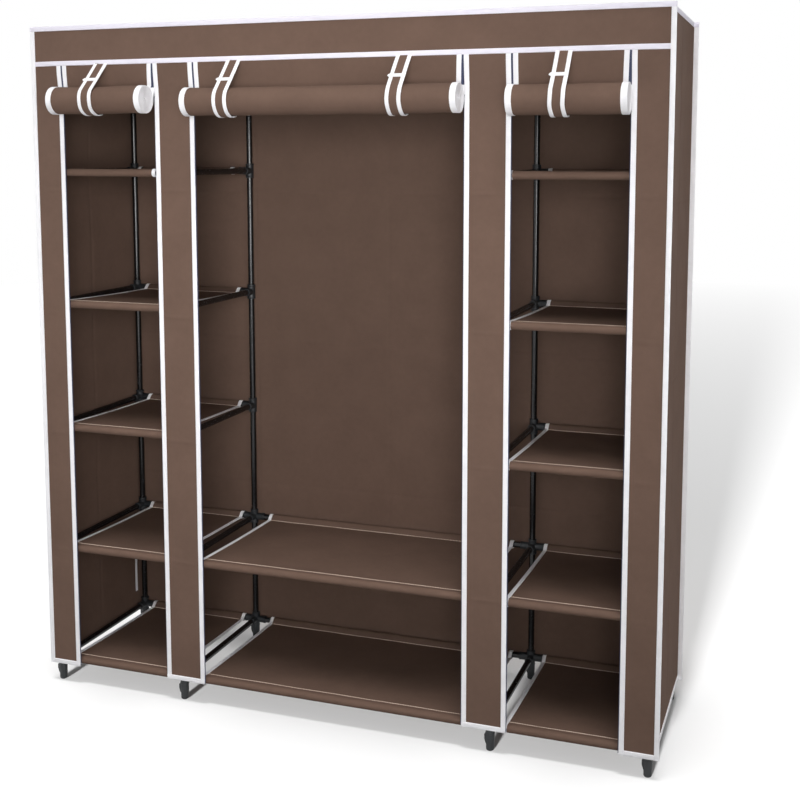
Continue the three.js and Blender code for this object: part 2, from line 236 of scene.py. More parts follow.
# Zips, sliders and the ribbon inside.
CURTAIN_TAPE = (0.0090, 0.0014, 0.0005)
STILE_TAPE = (0.0080, 0.0010, 0.0004)
STILE_TAPE_AT = 0.0020
TEETH_AT = 0.0014
ZIP_ABOVE_HEM = 0.003
TAPE_BEYOND = 0.0010
TAPE_BEHIND = 0.0012
TEETH_BEHIND = 0.0022
ZIP_TEETH = {"width": 0.0022, "pitch": 0.0024, "length": 0.0015}
SLIDER_HALF = 0.0048
SLIDER_LENGTH = 0.014
SLIDER_ROUND = 0.0016
SLIDER_PLATE = 0.0014
SLIDER_BRIDGE = 0.004
BRIDGE_SECTION = (0.0030, 0.004, 0.0008)
BOW_BELOW = 0.005
BOW_DEPTH = 0.0016
BOW_HALF = 0.0035
BOW_RADIUS = 0.0007
PULL_BELOW = 0.0055
PULL_BEFORE = 0.0012
PULL_LENGTH = 0.0165
PULL_HALF = 0.0024
PULL_SLOT = 0.0011
PULL_THICKNESS = 0.0009
PULL_ABOVE = 0.001
PULL_ROUND = 0.0022
TIE_ABOVE = 0.150
TIE_LENGTH = 0.105
TIE_SECTION = (0.011, 0.0008, 0.0003)
TIE_INSIDE = 0.0026
TIE_BEFORE = 0.024
TIE_BOW = 0.002

# Straps.
STRAP_WIDTH = 0.038
STRAP_BINDING = 0.0095
STRAP_THICKNESS = 0.0011
STRAP_LIFT = 0.0022
STRAP_BEFORE = 0.0012
STRAP_ABOVE = 0.002
STRAP_SWAY = 0.0006
STRAP_HEM = 0.0014
STRAP_ROUND = 0.0004
STRAP_HEM_ROUND = 0.0010
STRAP_END = math.radians(292)
BAR_HEIGHT = 0.0095
BAR_BEYOND = 0.001
BAR_OVERHANG = 0.004
BAR_ROUND = 0.0012
BAR_LIFT = 0.0016
BAR_HALF = 0.0007
BAR_AT = 6

LADDERS = ("left_end", "left_inner", "right_inner", "right_end")
PLACES = ("front", "back")
SECTIONS = {
    "left": ("left_end", "left_inner"),
    "centre": ("left_inner", "right_inner"),
    "right": ("right_inner", "right_end"),
}
STILES = ("left_stile", "left_centre_stile", "right_centre_stile", "right_stile")
DOORS = {
    "left": ("left_stile", "left_centre_stile", ("left_door_strap",)),
    "centre": (
        "left_centre_stile",
        "right_centre_stile",
        ("centre_door_left_strap", "centre_door_right_strap"),
    ),
    "right": ("right_centre_stile", "right_stile", ("right_door_strap",)),
}


def middle(name):
    low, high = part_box(name)
    return np.array((low + high) / 2)


# Places read from the frame.
header_low, header_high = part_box("cover_header")
FRONT = header_low.y
LEFT, RIGHT = header_low.x, header_high.x
HEADER_BOTTOM, COVER_TOP = header_low.z, header_high.z
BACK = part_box("cover_back_panel")[1].y
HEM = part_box("cover_back_panel")[0].z
POSTS = {
    (ladder, place): middle(f"{ladder}_{place}_foot")[:2] for ladder in LADDERS for place in PLACES
}
FRONT_ROW, BACK_ROW = (POSTS["left_end", place][1] for place in PLACES)
LEVELS = [middle(f"left_shelf_{level}")[2] for level in range(1, 6)]
TOP_LEVEL = middle("left_top_front_rod")[2]
FRONT_MIDDLE, BACK_MIDDLE = FRONT + PANEL_INSIDE, BACK - PANEL_INSIDE
BINDING_MIDDLE = FRONT - BINDING_PROUD
BINDING_FACE = BINDING_MIDDLE - BINDING_THICKNESS / 2


# Shapes are pairs of an array of points and a list of faces, with an optional array of places on the cloth.


def grid_quads(rows, columns, wrap=False):
    faces = []
    for row in range(rows - 1):
        for column in range(columns if wrap else columns - 1):
            beside = (column + 1) % columns
            first, second = row * columns, (row + 1) * columns
            faces.append((first + column, first + beside, second + beside, second + column))
    return faces


def sweep(section, centres, across, up):
    """A closed section carried along centres, with closed ends. Across and up are its axes at each step."""
    centres = np.asarray(centres, float)
    steps, corners = len(centres), len(section)
    across = np.broadcast_to(across, (steps, 3))[:, None]
    up = np.broadcast_to(up, (steps, 3))[:, None]
    section = np.asarray(section, float)
    points = centres[:, None] + section[None, :, :1] * across + section[None, :, 1:] * up
    faces = grid_quads(steps, corners, wrap=True)
    faces.append(tuple(reversed(range(corners))))
    faces.append(tuple(range((steps - 1) * corners, steps * corners)))
    return points.reshape(-1, 3), faces


def shell(mid, thickness):
    """A closed skin of cloth round a grid of middle points, with each point's place on the flat cloth."""
    rows, columns = mid.shape[:2]
    normal = unit(np.cross(np.gradient(mid, axis=0), np.gradient(mid, axis=1)))
    points = np.concatenate([mid + normal * thickness / 2, mid - normal * thickness / 2])
    count = rows * columns
    top = grid_quads(rows, columns)
    faces = top + [tuple(i + count for i in reversed(face)) for face in top]
    grid = np.arange(count).reshape(rows, columns)
    rim = np.concatenate([grid[0], grid[1:, -1], grid[-1, -2::-1], grid[-2:0:-1, 0]]).tolist()
    for a, b in zip(rim, rim[1:] + rim[:1]):
        faces.append((b, a, a + count, b + count))
    down = np.linalg.norm(np.diff(mid, axis=0), axis=2).mean(1)
    over = np.linalg.norm(np.diff(mid, axis=1), axis=2).mean(0)
    v, u = np.meshgrid(np.append(0, down.cumsum()), np.append(0, over.cumsum()), indexing="ij")
    places = np.stack([u.ravel(), v.ravel()], 1)
    return points.reshape(-1, 3), faces, np.concatenate([places, places])


def lathe(profile, centre, direction):
    """A profile of (radius, distance) turned about a line through centre. It starts and ends on the line."""
    direction = np.array(direction, float)
    side = X if abs(direction[0]) < 0.5 else Y
    other = np.cross(direction, side)
    centre = np.array(centre, float)
    rings = [(r, t) for r, t in profile if r > 0]
    angles = np.arange(TUBE_SIDES) * TURN / TUBE_SIDES
    round_it = np.cos(angles)[:, None] * side + np.sin(angles)[:, None] * other
    points = [centre + r * round_it + t * direction for r, t in rings]
    faces = grid_quads(len(rings), TUBE_SIDES, wrap=True)
    tips = [centre + profile[0][1] * direction, centre + profile[-1][1] * direction]
    first, last = len(rings) * TUBE_SIDES, (len(rings) - 1) * TUBE_SIDES
    for i in range(TUBE_SIDES):
        j = (i + 1) % TUBE_SIDES
        faces.append((first, j, i))
        faces.append((first + 1, last + i, last + j))
    return np.concatenate([*points, tips]), faces


def ring(radius, sides):
    angles = (np.arange(sides) + 0.5) * TURN / sides
    return arc(0, 0, radius, angles)


def rounded(points, radius, closed=True, steps=3):
    """An outline with its corners rounded, each by no more than its sides allow."""
    points = [np.array(p, float) for p in points]
    made = []
    count = len(points)
    for i, p in enumerate(points):
        if not closed and i in (0, count - 1):
            made.append(p)
            continue
        before, after = points[i - 1] - p, points[(i + 1) % count] - p
        before_length, after_length = np.linalg.norm(before), np.linalg.norm(after)
        cut = min(radius, before_length * 0.45, after_length * 0.45)
        start, end = p + before / before_length * cut, p + after / after_length * cut
        for step in range(steps + 1):
            t = step / steps
            made.append((1 - t) ** 2 * start + 2 * t * (1 - t) * p + t**2 * end)
    return np.array(made)


def rounded_box(width, height, radius):
    x, y = width / 2, height / 2
    return rounded([(-x, -y), (x, -y), (x, y), (-x, y)], radius)


def tube(start, end):
    start, end = np.array(start, float), np.array(end, float)
    length = np.linalg.norm(end - start)
    flat = TUBE_RADIUS - EDGE_ROUND
    profile = [(0, 0), (flat, 0), (TUBE_RADIUS, EDGE_ROUND)]
    profile += [(TUBE_RADIUS, length - EDGE_ROUND), (flat, length), (0, length)]
    return lathe(profile, start, (end - start) / length)


def unit(v):
    return v / np.linalg.norm(v, axis=-1, keepdims=True)


def arc(y, z, radius, angles):
    """Points round a middle in the Y-Z plane."""
    return np.stack([y + radius * np.cos(angles), z + radius * np.sin(angles)], 1)


def path_normals(path):
    """The direction across a line of the Y-Z plane at each of its points."""
    along = unit(np.gradient(path, axis=0))
    return np.stack([np.zeros(len(path)), along[:, 1], -along[:, 0]], 1)


def at_x(path, x):
    """A line of the Y-Z plane set at x."""
    return np.stack([np.full(len(path), x), path[:, 0], path[:, 1]], 1)


def carried(path, x):
    """A grid of points: a line of the Y-Z plane at each x, which may differ from row to row."""
    grid = np.zeros((len(path), x.shape[-1], 3))
    grid[:, :, 0] = x
    grid[:, :, 1:] = path[:, None]
    return grid


def relief(u, v, seed, size):
    """A gentle unevenness of about one each way over a sheet, in waves of about the given size."""
    random = np.random.default_rng(seed)
    total = np.zeros(np.broadcast(u, v).shape)
    for _ in range(RELIEF_WAVES):
        angle = random.uniform(0, TURN)
        length = size * random.uniform(0.6, 1.7)
        phase = random.uniform(0, TURN)
        total = total + np.sin(TURN * (u * math.cos(angle) + v * math.sin(angle)) / length + phase)
    return total / math.sqrt(RELIEF_WAVES)


def ease(t):
    t = np.clip(t, 0, 1)
    return t * t * (3 - 2 * t)


def edge_fade(t, share):
    """Nothing at both ends of 0 to 1, one from share inwards."""
    return ease(np.minimum(t, 1 - t) / share)


def lean(x, z):
    """How far the front stands forward: most at the header's lower seam, and less above and below it."""
    above = 1 - np.clip((z - HEADER_BOTTOM) / (COVER_TOP - HEADER_BOTTOM), 0, 1)
    below = 1 - ease((HEADER_BOTTOM - z) / LEAN_DEPTH)
    end = ease(np.minimum(x - LEFT, RIGHT - x) / LEAN_SIDE)
    return HEADER_LEAN * np.where(z > HEADER_BOTTOM, above, below) * end


# Materials. A helper adds a node; what is a socket is linked, and what is a value is set.


def node(near, kind, inputs=(), **settings):
    """A new node in the tree of another node or socket."""
    tree = near.id_data
    made = tree.nodes.new(kind)
    for key, value in settings.items():
        setattr(made, key, value)
    for key, value in dict(inputs).items():
        if isinstance(value, bpy.types.NodeSocket):
            tree.links.new(value, made.inputs[key])
        else:
            made.inputs[key].default_value = value
    return made


def arithmetic(operation, a, b=0.0):
    return node(a, "ShaderNodeMath", {0: a, 1: b}, operation=operation).outputs[0]


def srgb(*levels):
    """A colour given as it looks, 0 to 255, in linear light."""
    shares = [level / 255 for level in levels]
    return (*(c / 12.92 if c <= 0.04045 else ((c + 0.055) / 1.055) ** 2.4 for c in shares), 1.0)


def start_material(name):
    """A new material: itself, its shader, and the places on the object that patterns follow."""
    made = bpy.data.materials.new(name)
    made.use_nodes = True
    shader = made.node_tree.nodes["Principled BSDF"]
    return made, shader, node(shader, "ShaderNodeTexCoord").outputs["Object"]


def noise(places, scale, detail=2.0):
    inputs = {"Vector": places, "Scale": scale, "Detail": detail}
    return node(places, "ShaderNodeTexNoise", inputs).outputs["Fac"]


def ranged(value, low, high, to_low, to_high):
    inputs = {"Value": value, "From Min": low, "From Max": high, "To Min": to_low, "To Max": to_high}
    return node(value, "ShaderNodeMapRange", inputs).outputs[0]


def tinted(colour, factor):
    """A colour made lighter or darker by a factor that varies over the surface."""
    inputs = {0: colour[:3], "Scale": factor}
    return node(factor, "ShaderNodeVectorMath", inputs, operation="SCALE").outputs[0]


def dress(shader, colour, rough, height, strength, distance):
    """Give a shader its colour, its roughness and its fine relief."""
    bump = node(shader, "ShaderNodeBump", {"Height": height, "Strength": strength, "Distance": distance})
    for value, place in ((colour, "Base Color"), (rough, "Roughness"), (bump.outputs[0], "Normal")):
        shader.id_data.links.new(value, shader.inputs[place])


def mottled(places, coarse, fine, amount):
    """A factor near one that varies in soft patches and in small flecks."""
    patches = ranged(noise(places, coarse), 0.3, 0.7, -amount, amount)
    flecks = ranged(noise(places, fine, 3.0), 0.3, 0.7, -amount / 2, amount / 2)
    return arithmetic("ADD", arithmetic("ADD", patches, flecks), 1.0)


def brown_cloth(name, on_front=False):
    """Spun-bonded cloth: small pressed dimples in diagonal rows, stray fibres and soft patches of tone."""
    made, shader, places = start_material(name)
    flat = places if on_front else node(places, "ShaderNodeUVMap", uv_map=CLOTH_MAP).outputs[0]
    split = node(places, "ShaderNodeSeparateXYZ", {0: flat}).outputs
    u = arithmetic("MULTIPLY", split["X"], TURN / DIMPLE_PITCH)
    v = arithmetic("MULTIPLY", split["Z" if on_front else "Y"], TURN / DIMPLE_PITCH)
    rows = [arithmetic("SINE", arithmetic(way, u, v)) for way in ("ADD", "SUBTRACT")]
    dimples = arithmetic("MULTIPLY", *rows)
    fibres = noise(places, 1400.0)
    pressed = ranged(dimples, -1.0, 1.0, 0.96, 1.03)
    tone = arithmetic("MULTIPLY", mottled(places, 11.0, 70.0, 0.05), pressed)
    rough = ranged(fibres, 0.3, 0.7, 0.78, 0.92)
    height = arithmetic("ADD", dimples, arithmetic("MULTIPLY", fibres, 1.5))
    dress(shader, tinted(srgb(108, 87, 76), tone), rough, height, 0.45, 0.00008)
    shader.inputs["Specular IOR Level"].default_value = 0.08
    return made


def ribbed_binding(name, colour):
    """Woven edge tape: fine ribs every way it runs, and faint grey patches of handling."""
    made, shader, places = start_material(name)
    split = node(places, "ShaderNodeSeparateXYZ", {0: places}).outputs
    ribs = 0.0
    for axis in "XYZ":
        wave = arithmetic("SINE", arithmetic("MULTIPLY", split[axis], TURN / RIB_PITCH))
        ribs = arithmetic("ADD", wave, ribs)
    tone = mottled(places, 7.0, 90.0, 0.025)
    rough = ranged(ribs, -3.0, 3.0, 0.62, 0.8)
    dress(shader, tinted(colour, tone), rough, ribs, 0.4, 0.00006)
    shader.inputs["Specular IOR Level"].default_value = 0.3
    return made


def black_steel(name):
    """Gloss black paint on thin tube, with orange peel and worn grey specks."""
    made, shader, places = start_material(name)
    peel = noise(places, 260.0)
    wear = ranged(noise(places, 38.0, 6.0), 0.62, 0.74, 0.0, 1.0)
    colours = {0: wear, 6: srgb(14, 14, 16), 7: srgb(40, 40, 42)}
    mix = node(places, "ShaderNodeMix", colours, data_type="RGBA")
    rough = ranged(peel, 0.3, 0.7, 0.20, 0.28)
    dress(shader, mix.outputs[2], rough, peel, 0.05, 0.00005)
    return made


def black_plastic(name):
    """Moulded black plastic with a fine spark-eroded grain and slightly shinier patches."""
    made, shader, places = start_material(name)
    grain = noise(places, 1500.0, 3.0)
    colour = tinted(srgb(27, 30, 33), mottled(places, 30.0, 300.0, 0.15))
    rough = ranged(noise(places, 45.0), 0.3, 0.7, 0.42, 0.6)
    dress(shader, colour, rough, grain, 0.35, 0.00008)
    return made


def zip_tape(name):
    """Dark blue zip: a knitted tape whose ribs cross it as the coil's turns do."""
    made, shader, places = start_material(name)
    height = node(places, "ShaderNodeSeparateXYZ", {0: places}).outputs["Z"]
    turns = arithmetic("SINE", arithmetic("MULTIPLY", height, TURN / COIL_PITCH))
    banded = ranged(turns, -1.0, 1.0, 0.8, 1.1)
    tone = arithmetic("MULTIPLY", mottled(places, 20.0, 400.0, 0.06), banded)
    rough = ranged(turns, -1.0, 1.0, 0.45, 0.7)
    dress(shader, tinted(srgb(48, 53, 82), tone), rough, turns, 0.6, 0.0002)
    return made


def zip_metal(name):
    """Dark plated die-cast metal with fine scratches and bright rubbed spots."""
    made, shader, places = start_material(name)
    scratches = noise(places, 900.0, 4.0)
    colour = tinted(srgb(96, 98, 106), mottled(places, 120.0, 900.0, 0.2))
    dress(shader, colour, ranged(scratches, 0.3, 0.7, 0.25, 0.45), scratches, 0.2, 0.00005)
    shader.inputs["Metallic"].default_value = 0.9
    return made


def thread(name, colour):
    """Spun polyester sewing thread with a twist."""
    made, shader, places = start_material(name)
    twist = noise(places, 1600.0)
    shade = tinted(colour, mottled(places, 40.0, 900.0, 0.08))
    dress(shader, shade, ranged(twist, 0.3, 0.7, 0.55, 0.75), twist, 0.5, 0.0001)
    return made


brown = brown_cloth("brown_cloth")
brown_front = brown_cloth("brown_cloth_doors", on_front=True)
white = ribbed_binding("white_binding", srgb(247, 246, 249))
# A darker, lavender-tinted copy of the white binding: painted shade on the header's binding and the top's
# flanges.
painted_shade_binding = ribbed_binding("shaded_binding", srgb(234, 230, 241))
steel = black_steel("black_steel")
plastic = black_plastic("black_plastic")
navy = zip_tape("zip_tape")
metal = zip_metal("zip_metal")
white_thread = thread("white_thread", srgb(232, 230, 234))
seam_thread = thread("seam_thread", srgb(222, 200, 184))


def placed(name, data):
    made = bpy.data.objects.new(name, data)
    bpy.context.scene.collection.objects.link(made)
    return made


def piece(name, shapes, material):
    """One named object from one or more shapes, with its faces turned outwards."""
    mesh = bpy.data.meshes.new(name)
    points, faces, places = [], [], []
    start = 0
    for made in shapes:
        points.append(made[0])
        faces.extend(tuple(i + start for i in face) for face in made[1])
        places.append(made[2] if len(made) > 2 else np.zeros((len(made[0]), 2)))
        start += len(made[0])
    mesh.from_pydata(np.concatenate(points).tolist(), [], faces)
    corner = np.zeros(len(mesh.loops), np.int64)
    mesh.loops.foreach_get("vertex_index", corner)
    layer = mesh.uv_layers.new(name=CLOTH_MAP)
    layer.data.foreach_set("uv", np.concatenate(places)[corner].astype(np.float32).ravel())
    work = bmesh.new()
    work.from_mesh(mesh)
    bmesh.ops.recalc_face_normals(work, faces=work.faces)
    work.to_mesh(mesh)
    work.free()
    mesh.shade_smooth()
    mesh.set_sharp_from_angle(angle=SMOOTH_ANGLE)
    mesh.materials.append(material)
    made = placed(name, mesh)
    return made


def fixed(name, shapes, material, *nodes):
    """A piece that rides on the standing wardrobe and stands for the named nodes."""
    made = piece(name, shapes, material)
    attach(made, ROOT)
    if nodes:
        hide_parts(*nodes)
    return made


# The frame of tubes.


def lipped(radius, lip, start, end):
    """The profile of a moulded sleeve with a lip at each end, from start to end along its axis."""
    inner, outer = start + LIP_LENGTH, end - LIP_LENGTH
    outline = [(0, start), (lip, start), (lip, inner), (radius, inner + EDGE_ROUND)]
    outline += [(radius, outer - EDGE_ROUND), (lip, outer), (lip, end), (0, end)]
    return rounded(outline, EDGE_ROUND, closed=False)


def arm_directions(ladder, level):
    """Where the connectors of a ladder reach out sideways at a level."""
    made = []
    for section, (first, last) in SECTIONS.items():
        reached = level == len(LEVELS) or f"{section}_shelf_{level + 1}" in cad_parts
        if reached and ladder == first:
            made.append(X)
        if reached and ladder == last:
            made.append(-X)
    return made


def connector(ladder, place, level, z):
    """A moulded connector: an upright sleeve and the arms that take the rods."""
    x, y = POSTS[ladder, place]
    centre = (x, y, z)
    top = level == len(LEVELS)
    shapes = [lathe(lipped(HUB_RADIUS, HUB_LIP, -HUB_HALF, HUB_LIP if top else HUB_HALF), centre, Z)]
    inwards = Y if place == "front" else -Y
    for direction in [*arm_directions(ladder, level), inwards]:
        shapes.append(lathe(lipped(ARM_RADIUS, ARM_LIP, 0, ARM_LENGTH), centre, direction))
    return shapes


def ladder_pieces(ladder):
    node_name = f"{ladder}_frame"
    tubes, connectors = [], []
    foot_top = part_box(f"{ladder}_front_foot")[1].z
    for place in PLACES:
        x, y = POSTS[ladder, place]
        tubes.append(tube((x, y, foot_top - TUBE_RADIUS), (x, y, TOP_LEVEL)))
    for level, z in enumerate([*LEVELS, TOP_LEVEL]):
        (x, front), (_, back) = POSTS[ladder, "front"], POSTS[ladder, "back"]
        tubes.append(tube((x, front, z), (x, back, z)))
        for place in PLACES:
            connectors.extend(connector(ladder, place, level, z))
    fixed(f"{ladder}_frame_tubes", tubes, steel, node_name)
    fixed(f"{ladder}_frame_connectors", connectors, plastic, node_name)


def foot_piece(ladder, place):
    """A foot: a round peg with a chamfered end, a collar over it, two ribs, and a fin out to one side."""
    name = f"{ladder}_{place}_foot"
    low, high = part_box(name)
    x, y = POSTS[ladder, place]
    reach, top = (high.x - low.x) / 2, high.z
    peg = [(0, 0), (FOOT_PEG - FOOT_CHAMFER, 0), (FOOT_PEG, FOOT_CHAMFER), (FOOT_PEG + FOOT_TAPER, FOOT_NECK)]
    collar = [(FOOT_COLLAR, FOOT_NECK + COLLAR_RISE), (FOOT_COLLAR, top), (0, top)]
    shapes = [lathe(rounded(peg + collar, FOOT_ROUND, closed=False), (x, y, 0), Z)]
    start = FOOT_NECK - FIN_TAIL
    fin = [(0, start), (FOOT_PEG, start), (reach, FOOT_NECK + FIN_RISE)]
    fin += [(reach, top - FIN_LIP), (reach, top), (0, top)]
    ends = [(x, y - FIN_WIDTH / 2, 0), (x, y + FIN_WIDTH / 2, 0)]
    shapes.append(sweep(rounded(fin, FIN_ROUND), ends, -X, Z))
    rib = [(0, RIB_START), (FOOT_PEG + RIB_PROUD, RIB_START), (FOOT_COLLAR, FOOT_NECK), (0, FOOT_NECK)]
    for angle in (0.25 * math.pi, -0.25 * math.pi):
        out = np.array([math.cos(angle), math.sin(angle), 0])
        side = np.cross(Z, out)
        ends = [np.array([x, y, 0]) + side * offset for offset in (-RIB_HALF, RIB_HALF)]
        shapes.append(sweep(rounded(rib, RIB_ROUND, steps=2), ends, out, Z))
    fixed(f"{name}_moulding", shapes, plastic, name)


def rod_reach(section):
    first, last = SECTIONS[section]
    return POSTS[first, "front"][0], POSTS[last, "front"][0]


def top_rods(section):
    x0, x1 = rod_reach(section)
    for place, y in zip(PLACES, (FRONT_ROW, BACK_ROW)):
        rod = tube((x0 + ROD_INSET, y, TOP_LEVEL), (x1 - ROD_INSET, y, TOP_LEVEL))
        fixed(f"{section}_top_{place}_tube", [rod], steel, f"{section}_top_{place}_rod")


def hanging_rail():
    """The rail under the top, on two pressed clips that close round the depth rods."""
    low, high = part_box("hanging_rail")
    y = (low.y + high.y) / 2
    x0, x1 = rod_reach("centre")
    level = TOP_LEVEL - RAIL_DROP
    rail = tube((x0 + EDGE_ROUND, y, level), (x1 - EDGE_ROUND, y, level))
    fixed("hanging_rail_tube", [rail], steel, "hanging_rail")
    head = [p for p in ring(CLIP_RADIUS, 24) if p[1] > CLIP_MOUTH]
    head.sort(key=lambda p: math.atan2(p[0], -p[1]))
    outline = [(-CLIP_NECK, -RAIL_DROP), (CLIP_NECK, -RAIL_DROP), *head[::-1]]
    outline = rounded(outline, CLIP_ROUND, steps=2)
    clips = []
    for x in (x0, x1):
        ends = [(x, low.y, TOP_LEVEL), (x, high.y, TOP_LEVEL)]
        clips.append(sweep(outline, ends, X, Z))
        sleeve_profile = lipped(CLIP_SLEEVE, CLIP_LIP, -CLIP_HALF, CLIP_HALF)
        clips.append(lathe(sleeve_profile, (x, y, level), X))
    fixed("hanging_rail_clips", clips, plastic, "hanging_rail")


# Shelves.


def seam_height(z, place):
    """The height of the seam that closes the sleeve of a front or back rod at z."""
    return z + SLEEVE_RADIUS - SEAM_DROP[place]


def sleeve(z, place):
    """The cloth round a rod in the Y-Z plane, from its hem under the seam round to the seam."""
    rise = seam_height(z, place) - z
    offset = math.hypot(SEAM_BEHIND_ROD, rise)
    turn = math.acos(SLEEVE_RADIUS / offset)
    aim = math.atan2(rise, SEAM_BEHIND_ROD)
    angles = np.linspace(aim - turn, aim + turn - TURN, SLEEVE_STEPS)
    under = np.array([[SEAM_BEHIND_ROD, z + rise - 2 * CLOTH]])
    return np.concatenate([under, arc(0, z, SLEEVE_RADIUS, angles)])


def shelf_profile(z):
    """The cloth in the Y-Z plane: hem, round the front rod, over to the back rod, round it to its hem."""
    across = np.linspace(0, 1, 26)
    sheet_y = FRONT_ROW + SEAM_BEHIND_ROD + across * (BACK_ROW - FRONT_ROW - 2 * SEAM_BEHIND_ROD)
    level = seam_height(z, "front") + across * (seam_height(z, "back") - seam_height(z, "front"))
    sheet = np.stack([sheet_y, level - SHELF_SAG * np.sin(math.pi * across)], 1)
    behind = sleeve(z, "back")[::-1] * [-1, 1] + [BACK_ROW, 0]
    return np.concatenate([sleeve(z, "front") + [FRONT_ROW, 0], sheet, behind])


def stitches(start, end, outwards, width=STITCH_WIDTH, pitch=STITCH_PITCH, length=STITCH_LENGTH):
    """A row of small raised stitches between two points, on a surface that faces outwards."""
    start, end, outwards = (np.array(p, float) for p in (start, end, outwards))
    span = np.linalg.norm(end - start)
    along = (end - start) / span
    side = np.cross(along, outwards)
    count = max(1, int(span / pitch))
    centres = start + along * ((np.arange(count) + 0.5) * span / count)[:, None]
    corners = [(-1, -1, 0), (1, -1, 0), (1, 1, 0), (-1, 1, 0)]
    corners += [(-0.6, -0.5, 1), (0.6, -0.5, 1), (0.6, 0.5, 1), (-0.6, 0.5, 1)]
    block = np.array(corners) @ [along * length / 2, side * width / 2, outwards * width * STITCH_RISE]
    points = (centres[:, None] + block[None]).reshape(-1, 3)
    sides = [(0, 1, 2, 3), (4, 7, 6, 5), (0, 4, 5, 1), (1, 5, 6, 2), (2, 6, 7, 3), (3, 7, 4, 0)]
    faces = [tuple(i + 8 * n for i in face) for n in range(count) for face in sides]
    return points, faces


def shelf(name, section, z, seed):
    x0, x1 = rod_reach(section)
    margin = CLOTH_MARGIN[section]
    shift = SHELF_SHIFT.get(name, 0.0)
    left, right = x0 + margin + shift, x1 - margin + shift
    profile = shelf_profile(z)
    mid = carried(profile, np.linspace(left, right, int((right - left) / SHELF_STEP)))
    inside = edge_fade((mid[:, :, 1] - FRONT_ROW) / (BACK_ROW - FRONT_ROW), 0.14)
    inside[: SLEEVE_STEPS + 2] = 0
    inside[-SLEEVE_STEPS - 2 :] = 0
    wave = relief(mid[:, :, 0], mid[:, :, 1], seed, SHELF_WAVE_SIZE)
    across = (mid[:, :, 0] - left) / (right - left)
    bound = edge_fade(across, min(0.5, SHELF_FADE / (right - left)))
    mid[:, :, 2] += inside * bound * (SHELF_WAVE * wave - SHELF_SAG_ACROSS * np.sin(math.pi * across))
    cloth = fixed(f"{name}_cloth", [shell(mid, CLOTH)], brown, name)
    rods = [tube((x0 + ROD_INSET, y, z), (x1 - ROD_INSET, y, z)) for y in (FRONT_ROW, BACK_ROW)]
    fixed(f"{name}_rods", rods, steel, name)
    edging = shelf_edging(name, profile, (left, right))
    seams = shelf_seams(name, left, right, z)


def shelf_edging(name, profile, edges):
    """White binding folded over the cloth's two side edges, round the sleeves too."""
    up = -path_normals(profile)
    section = rounded_box(EDGING_WIDTH, EDGING_THICKNESS, EDGING_THICKNESS * 0.4)
    strips = []
    for x in edges:
        strips.append(sweep(section, at_x(profile, x), X, up))
    return fixed(f"{name}_edging", strips, white, name)


def shelf_seams(name, left, right, z):
    """The two sewn lines that close the sleeves, each a little wavy."""
    rows = []
    parts = max(3, int((right - left) / SEAM_PART))
    x = np.linspace(left + EDGING_WIDTH / 2, right - EDGING_WIDTH / 2, parts)
    for place, y in (("front", FRONT_ROW + SEAM_BEHIND_ROD), ("back", BACK_ROW - SEAM_BEHIND_ROD)):
        top = seam_height(z, place) + CLOTH / 2
        wobble = SEAM_WOBBLE * np.sin(np.arange(parts) * 2.1 + z * 40)
        for i in range(parts - 1):
            ends = [(x[j], y + wobble[j], top) for j in (i, i + 1)]
            rows.append(stitches(*ends, Z, **SEAM_STITCH))
    return fixed(f"{name}_seams", rows, seam_thread, name)


# The cover's cloth.


def creased(length, step, creases):
    """Shares along a side for a panel's grid, close together at each crease, and how far each stands out."""
    even = np.linspace(0, 1, max(4, int(length / step)))
    close = [crease + k * CREASE_HALF / length for crease in creases for k in (-2, -1, 0, 1, 2)]
    shares = np.unique(np.concatenate([even, close]))
    apart = [np.abs(shares - crease) * length / CREASE_HALF for crease in creases]
    fold = sum((np.clip(1 - a / 2, 0, 1) ** 2 for a in apart), np.zeros(len(shares)))
    return shares, fold * CREASE_HEIGHT


def panel(name, corner, across, down, uneven, seed, step=PANEL_STEP, bend=None, creases=((), ()), **lies):
    """A sewn panel of cloth. Across and down are its sides, uneven is its waves' size and height."""
    corner, across, down = (np.array(v, float) for v in (corner, across, down))
    width, drop = np.linalg.norm(across), np.linalg.norm(down)
    size, height = uneven
    shares_across, fold_across = creased(width, step, creases[0])
    shares_down, fold_down = creased(drop, step, creases[1])
    s, t = np.meshgrid(shares_across, shares_down)
    folds = fold_across[None, :] + fold_down[:, None]
    mid = corner + s[..., None] * across + t[..., None] * down
    normal = unit(np.cross(down, across))
    fade = edge_fade(s, min(0.5, PANEL_FADE / width)) * edge_fade(t, min(0.5, PANEL_FADE / drop))
    waves = relief(s * width, t * drop, seed, size)
    ripples = relief(s * width, t * drop, seed + 300, size * RIPPLE_SIZE_SHARE)
    mid = mid + (fade * (folds + height * (waves + RIPPLE_SHARE * ripples)))[..., None] * normal
    if bend:
        mid = bend(mid)
    made = fixed(f"{name}_cloth", [shell(mid, CLOTH)], brown, name)


def leaning(points):
    """Points of the front moved forward where the front leans."""
    points = np.array(points, float)
    points[..., 1] -= lean(points[..., 0], points[..., 2])
    return points


def cover_front():
    lies = {"held": "hung", "rests_on": ["cover_header_binding"], "bend": leaning}
    across, down = (RIGHT - LEFT, 0, 0), (0, 0, HEADER_BOTTOM - COVER_TOP)
    panel("cover_header", (LEFT, FRONT_MIDDLE, COVER_TOP), across, down, (0.30, 0.0010), 3, 0.012, **lies)
    for index, stile in enumerate(STILES):
        low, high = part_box(f"cover_{stile}")
        corner = (low.x, FRONT_MIDDLE, HEADER_BOTTOM + HEADER_LAP)
        across, down = (high.x - low.x, 0, 0), (0, 0, low.z - HEADER_BOTTOM - HEADER_LAP)
        uneven, seed = (0.26, 0.0012), 20 + index
        panel(f"cover_{stile}", corner, across, down, uneven, seed, FRONT_STEP, creases=STILE_CREASES, **lies)


